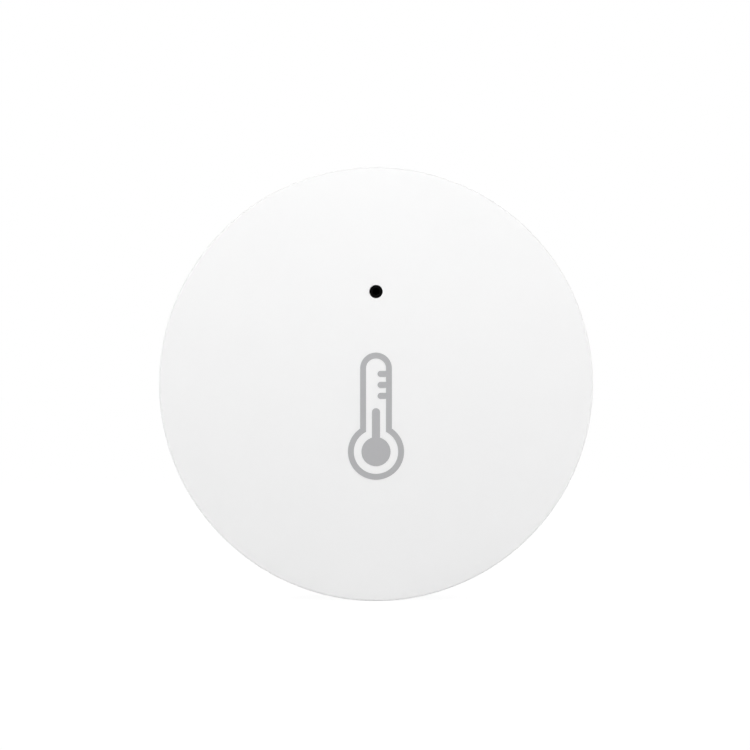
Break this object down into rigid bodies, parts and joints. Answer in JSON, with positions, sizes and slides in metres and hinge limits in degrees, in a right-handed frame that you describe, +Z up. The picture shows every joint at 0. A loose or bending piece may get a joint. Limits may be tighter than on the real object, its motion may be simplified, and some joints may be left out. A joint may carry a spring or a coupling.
{
  "type": "temperature and humidity sensor",
  "caption": "Round white wall sensor with a domed face, air port and thermometer pictogram; a coin-slot bayonet cover on the back holds its coin cell, and a rim button resets it.",
  "frame": {"origin": "middle of the adhesive face on the back, where the sensor meets the wall", "axes": "+Y out of the back, into the wall, so the front faces -Y; +Z up, towards the air port and the button; +X to the right, seen from the front"},
  "size_m": [0.036, 0.0115, 0.036],
  "materials": {
    "white_abs": "satin",
    "white_abs_back": "matte",
    "grey_ink": "matte",
    "black_rubber": "matte",
    "dust_mesh": "matte",
    "foam_tape": "matte",
    "board_laminate": "satin",
    "zinc_steel": "satin",
    "chip_epoxy": "matte",
    "nickel_can": "satin",
    "led_resin": "gloss",
    "chip_ceramic": "matte",
    "copper_trace": "satin",
    "switch_nylon": "matte",
    "plunger_nylon": "satin",
    "spring_bronze": "satin",
    "cell_steel": "satin",
    "cell_gasket": "matte",
    "cell_pellet": "matte"
  },
  "bodies": {
    "housing": {"front_shell": "white_abs", "face_icon": "grey_ink", "port_sleeve": "black_rubber", "port_mesh": "dust_mesh", "back_shell": "white_abs_back", "adhesive_ring": "foam_tape", "circuit_board": "board_laminate", "board_screws": "zinc_steel", "radio_chip": "chip_epoxy", "crystal": "nickel_can", "sensor_chip": "chip_epoxy", "status_led": "led_resin", "board_passives": "chip_ceramic", "antenna_trace": "copper_trace", "switch_body": "switch_nylon", "negative_contact": "spring_bronze", "positive_contact": "spring_bronze"},
    "button": {"reset_button": "white_abs", "switch_plunger": "plunger_nylon"},
    "cell": {"cell_can": "cell_steel", "cell_cap": "cell_steel", "cell_seal": "cell_gasket", "cell_core": "cell_pellet"},
    "cover": {"battery_cover": "white_abs_back"}
  },
  "joints": [
    {"name": "button_press", "type": "slide", "parent": "housing", "child": "button", "axis": [0, 0, -1], "range_m": [0, 0.0003], "stiffness_N_per_m": 3000, "springref_m": -0.0003},
    {"name": "cell_rise", "type": "slide", "parent": "housing", "child": "cell", "axis": [0, 1, 0], "range_m": [0, 0.0005]},
    {"name": "cover_turn", "type": "hinge", "parent": "cell", "child": "cover", "pos_m": [0, 0, 0], "axis": [0, 1, 0], "range_deg": [0, 30]}
  ],
  "couplings": [
    {"joint": "cover_turn", "follows": "cell_rise", "rad_per_m": 1047.2}
  ]
}
